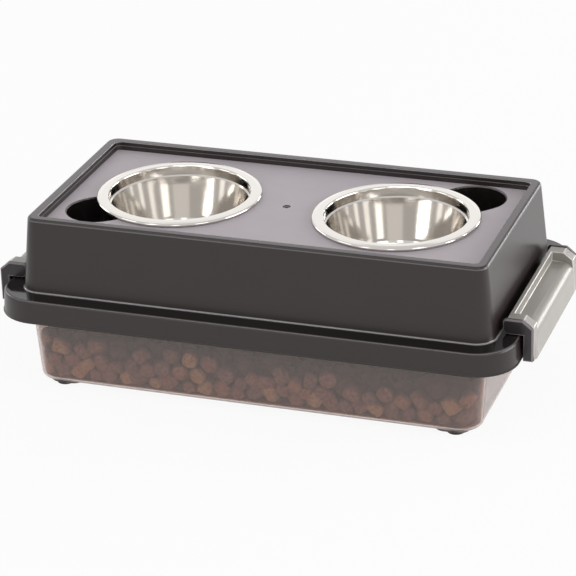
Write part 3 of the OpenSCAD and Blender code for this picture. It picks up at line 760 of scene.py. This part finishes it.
# A point this far behind the wall is fully lit. Behind that it fades towards the darkest shade.
LIT_MM, FADE_MM, DARKEST = 2.2, 1.6, 0.85
WALL_COLOURS = len(WALL_SHARES)
placed, kinds, gap_shades = [], [], []
for ball, r in zip(balls, radius):
    sizes, plan_power, side_power = SHAPES[int(dice.integers(len(SHAPES)))]
    shape = pillow(np.array(sizes) * r * PIECE_SIZE, plan_power, side_power)
    out, way = past_wall(ball[None])
    at_wall = out[0] > -WALL_REACH * r
    if at_wall:
        facing = Vector((*way[0], 0)).to_track_quat("Z", "Y").to_matrix()
        tip = Matrix.Rotation(dice.uniform(-LEAN, LEAN), 3, "X")
        tip = tip @ Matrix.Rotation(dice.uniform(-LEAN, LEAN), 3, "Y")
        turn = facing @ tip @ Matrix.Rotation(dice.uniform(0, SPIN), 3, "Z")
    else:
        turn = Matrix(np.linalg.qr(dice.normal(size=(3, 3)))[0])
        turn = turn if turn.determinant() > 0 else -turn
    points = shape @ np.array(turn).T + ball
    low_by = points[:, 2].min() - BIN_FLOOR
    if low_by < ON_FLOOR:
        points[:, 2] += CLEAR - low_by
    for _ in range(PUSHES):
        out, way = past_wall(points)
        worst = int(out.argmax())
        if at_wall or out[worst] > -CLEAR:
            points[:, :2] -= way[worst] * (out[worst] + CLEAR)
    placed.append(points)
    behind = np.maximum(-past_wall(points)[0] - LIT_MM, 0)
    shade = DARKEST * (1 - np.exp(-behind / FADE_MM))
    gap_shades.append(shade if at_wall else np.zeros(len(points)))
    kinds.append(int(dice.choice(WALL_COLOURS, p=WALL_SHARES) if at_wall
                     else dice.integers(WALL_COLOURS, len(KIBBLE))))
print("pieces per colour", np.bincount(kinds))

# %% [markdown]
# Each piece could be an object of its own, as real ones lie loose. But the heap only ever moves
# with the bin, so all pieces become one mesh, which is simpler to handle. Each face keeps the
# number of its piece's colour, and each point keeps its gap shade.

# %% Dry food: one mesh
all_points = np.concatenate(placed) * MM
firsts = range(0, len(all_points), len(CUBE_POINTS))
all_quads = [[i + first for i in quad] for first in firsts for quad in CUBE_QUADS]
colour_numbers = np.repeat(kinds, len(CUBE_QUADS)).astype(np.int32)
kibble_mesh = bpy.data.meshes.new("kibble_fill")
kibble_mesh.from_pydata([tuple(p) for p in all_points], [], all_quads)
for material in KIBBLE:
    kibble_mesh.materials.append(material)
kibble_mesh.polygons.foreach_set("material_index", colour_numbers)
shade_layer = kibble_mesh.attributes.new(GAP_SHADE, "FLOAT", "POINT")
shade_layer.data.foreach_set("value", np.concatenate(gap_shades))
kibble_mesh.polygons.foreach_set("use_smooth", [True] * len(kibble_mesh.polygons))
kibble = new_object("kibble_fill", kibble_mesh)
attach(kibble, "bin")
print("kibble_fill", len(kibble_mesh.polygons), "faces")

# %% [markdown]
# Gaps between the pieces would let the white floor shine up through the heap. In a real one there
# is more food behind each gap, and crumbs lie on the bin's floor. Two low blocks stand in for
# those: a heart painted almost black as shade, which keeps clear of the wall, and a thin layer of
# crumbs that reaches it.

# %% Dry food: the heart of the heap, and the crumbs on the bin's floor
# Levels from the bottom up: height over the bin's floor, inset from the wall there, corner radius.
HEART_LEVELS = [(0.3, 14, 10), (14, 14, 10)]
CRUMB_LEVELS = [(0.2, 3.2, 16.6), (1.2, 1.2, 18.6), (3.4, 0.3, 19.5), (4.2, 2.5, 17.3)]
ARC_POINTS = 7


def food_slab(name, levels, material):
    """A low block with round corners, drawn level by level."""
    points = []
    for height, inset, corner_r in levels:
        half_x, half_y = INSIDE - inset - corner_r
        for quarter, (sx, sy) in enumerate(CORNERS):
            for step in range(ARC_POINTS):
                angle = math.radians(180 + 90 * quarter + 90 / (ARC_POINTS - 1) * step)
                points.append(((sx * half_x + corner_r * math.cos(angle)) * MM,
                               (sy * half_y + corner_r * math.sin(angle)) * MM,
                               (BIN_FLOOR + height) * MM))
    count = len(points) // len(levels)
    faces = [list(range(count))[::-1], list(range(len(points) - count, len(points)))]
    for low in range(0, len(points) - count, count):
        faces += [(low + i, low + (i + 1) % count, low + (i + 1) % count + count, low + i + count)
                  for i in range(count)]
    mesh = bpy.data.meshes.new(name)
    mesh.from_pydata(points, [], faces)
    mesh.materials.append(material)
    piece = new_object(name, mesh)
    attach(piece, "bin")


food_slab("kibble_heart", HEART_LEVELS, DEEP_PAINTED_SHADE)
food_slab("kibble_crumbs", CRUMB_LEVELS, CRUMBS)
